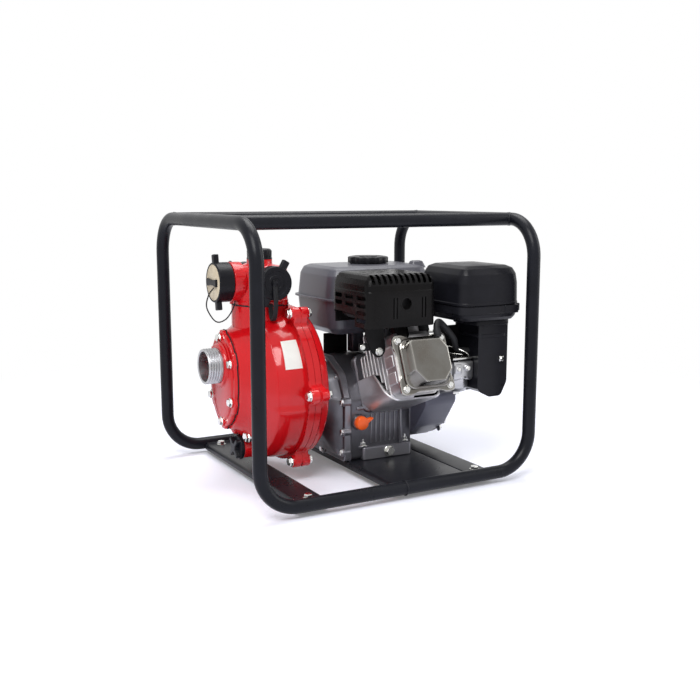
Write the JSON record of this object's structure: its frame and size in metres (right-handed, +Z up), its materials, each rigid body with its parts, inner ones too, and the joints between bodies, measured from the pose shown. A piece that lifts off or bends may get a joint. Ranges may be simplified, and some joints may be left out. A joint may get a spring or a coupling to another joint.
{
  "type": "portable fire pump",
  "caption": "Petrol fire pump: red cast pump with capped outlets on a small four-stroke engine, carried in a frame of bent steel tube.",
  "frame": {"origin": "on the floor under the middle of the tube frame", "axes": "+X from the suction inlet to the recoil starter, +Y away from the valve cover and muffler guard, +Z up"},
  "size_m": [0.52, 0.442, 0.449],
  "materials": {
    "frame_coat": "satin powder coat",
    "rubber": "matt rubber",
    "zinc_plate": "zinc plated",
    "pump_red": "gloss enamel on cast alloy",
    "cast_alloy": "as cast",
    "black_plastic": "moulded",
    "black_paint": "satin enamel on sheet steel",
    "grey_paint": "satin enamel on sheet steel",
    "steel": "machined",
    "orange_plastic": "moulded",
    "filter_foam": "foam"
  },
  "bodies": {
    "frame": {"end_hoop_pump": "frame_coat", "end_hoop_engine": "frame_coat", "top_rail_near": "frame_coat", "top_rail_far": "frame_coat", "cross_bar_pump": "frame_coat", "cross_bar_engine": "frame_coat", "engine_base_plate": "frame_coat", "rubber_foot_pump_near": "rubber", "rubber_foot_pump_far": "rubber", "rubber_foot_engine_near": "rubber", "rubber_foot_engine_far": "rubber", "cover_gasket": "rubber", "shaft_seal": "rubber", "tether_end": "rubber", "tether_near": "rubber", "breather_hose": "rubber", "foot_bolt_pump_near": "zinc_plate", "foot_bolt_pump_far": "zinc_plate", "foot_bolt_engine_near": "zinc_plate", "foot_bolt_engine_far": "zinc_plate", "valve_cover": "zinc_plate", "pump_casing": "pump_red", "pump_bracket": "pump_red", "suction_cover": "pump_red", "discharge_manifold": "pump_red", "inlet_nipple": "cast_alloy", "diffuser": "cast_alloy", "crankcase": "cast_alloy", "side_cover": "cast_alloy", "cylinder_head": "cast_alloy", "piston": "cast_alloy", "connecting_rod": "cast_alloy", "carburetor": "cast_alloy", "air_cleaner_base": "black_plastic", "spark_plug": "black_plastic", "recoil_cover": "black_paint", "fuel_tank": "black_paint", "muffler_guard": "black_paint", "blower_housing": "grey_paint", "muffler": "steel", "air_filter": "filter_foam"},
    "crank_train": {"crankshaft": "steel", "flywheel": "cast_alloy", "impeller": "cast_alloy"},
    "cam": {"camshaft": "steel"},
    "end_cap": {"outlet_cap_end": "black_plastic"},
    "near_cap": {"outlet_cap_near": "black_plastic"},
    "far_cap": {"outlet_cap_far": "black_plastic"},
    "plug": {"priming_plug": "black_plastic"},
    "drain": {"drain_knob": "black_plastic"},
    "flap": {"check_valve_flap": "rubber"},
    "oil_dipstick": {"dipstick": "orange_plastic"},
    "tank_cap": {"fuel_cap": "black_plastic"},
    "lid": {"air_cleaner_lid": "black_plastic"},
    "throttle": {"throttle_lever": "steel"},
    "choke": {"choke_lever": "steel"},
    "fuel_cock": {"fuel_cock_lever": "steel"},
    "switch": {"engine_switch": "black_plastic"},
    "starter_grip": {"recoil_grip": "black_plastic"},
    "starter_pulley": {"recoil_pulley": "black_plastic"}
  },
  "joints": [
    {"name": "crank_spin", "type": "hinge", "parent": "frame", "child": "crank_train", "pos_m": [0.064, 0.028, 0.1293], "axis": [1, 0, 0], "continuous": true},
    {"name": "cam_spin", "type": "hinge", "parent": "frame", "child": "cam", "pos_m": [0.064, 0.028, 0.0747], "axis": [1, 0, 0], "continuous": true},
    {"name": "end_cap_turn", "type": "hinge", "parent": "frame", "child": "end_cap", "pos_m": [-0.141, 0.028, 0.3363], "axis": [-1, 0, 0], "range_deg": [0, 1080]},
    {"name": "near_cap_turn", "type": "hinge", "parent": "frame", "child": "near_cap", "pos_m": [-0.141, 0.028, 0.3363], "axis": [0, -1, 0], "range_deg": [0, 1080]},
    {"name": "far_cap_turn", "type": "hinge", "parent": "frame", "child": "far_cap", "pos_m": [-0.141, 0.028, 0.3363], "axis": [0, 1, 0], "range_deg": [0, 1080]},
    {"name": "priming_plug_turn", "type": "hinge", "parent": "frame", "child": "plug", "pos_m": [-0.141, 0.028, 0.3363], "axis": [0, 0, 1], "range_deg": [0, 1080]},
    {"name": "drain_knob_turn", "type": "hinge", "parent": "frame", "child": "drain", "pos_m": [-0.1853, 0.018, 0.0563], "axis": [-1, 0, 0], "range_deg": [0, 1080]},
    {"name": "check_valve_swing", "type": "hinge", "parent": "frame", "child": "flap", "pos_m": [-0.20105, 0.028, 0.2278], "axis": [0, -1, 0], "range_deg": [0, 30]},
    {"name": "dipstick_turn", "type": "hinge", "parent": "frame", "child": "oil_dipstick", "pos_m": [0.005, -0.0583, 0.0923], "axis": [0, -1, 0], "range_deg": [0, 1080]},
    {"name": "fuel_cap_turn", "type": "hinge", "parent": "frame", "child": "tank_cap", "pos_m": [0.085, 0.055, 0.3563], "axis": [0, 0, 1], "range_deg": [0, 90]},
    {"name": "air_cleaner_lid_lift", "type": "slide", "parent": "frame", "child": "lid", "axis": [0, 0, 1], "range_m": [0, 0.05]},
    {"name": "throttle_swing", "type": "hinge", "parent": "frame", "child": "throttle", "pos_m": [0.1341, -0.002, 0.22944], "axis": [0, 0, 1], "range_deg": [-25, 25]},
    {"name": "choke_swing", "type": "hinge", "parent": "frame", "child": "choke", "pos_m": [0.2259, -0.1385, 0.2103], "axis": [1, 0, 0], "range_deg": [0, 60]},
    {"name": "fuel_cock_swing", "type": "hinge", "parent": "frame", "child": "fuel_cock", "pos_m": [0.1496, -0.1147, 0.1853], "axis": [0, 1, 0], "range_deg": [0, 90]},
    {"name": "engine_switch_turn", "type": "hinge", "parent": "frame", "child": "switch", "pos_m": [0.1786, -0.04522, 0.20512], "axis": [1, 0, 0], "range_deg": [0, 60]},
    {"name": "recoil_grip_pull", "type": "slide", "parent": "frame", "child": "starter_grip", "axis": [0, 1, 0], "range_m": [0, 0.5]},
    {"name": "recoil_pulley_turn", "type": "hinge", "parent": "frame", "child": "starter_pulley", "pos_m": [0.19, 0.028, 0.1293], "axis": [1, 0, 0], "range_deg": [-580, 0]}
  ],
  "couplings": [
    {"joint": "cam_spin", "follows": "crank_spin", "ratio": -0.5},
    {"joint": "recoil_pulley_turn", "follows": "recoil_grip_pull", "rad_per_m": -20}
  ]
}
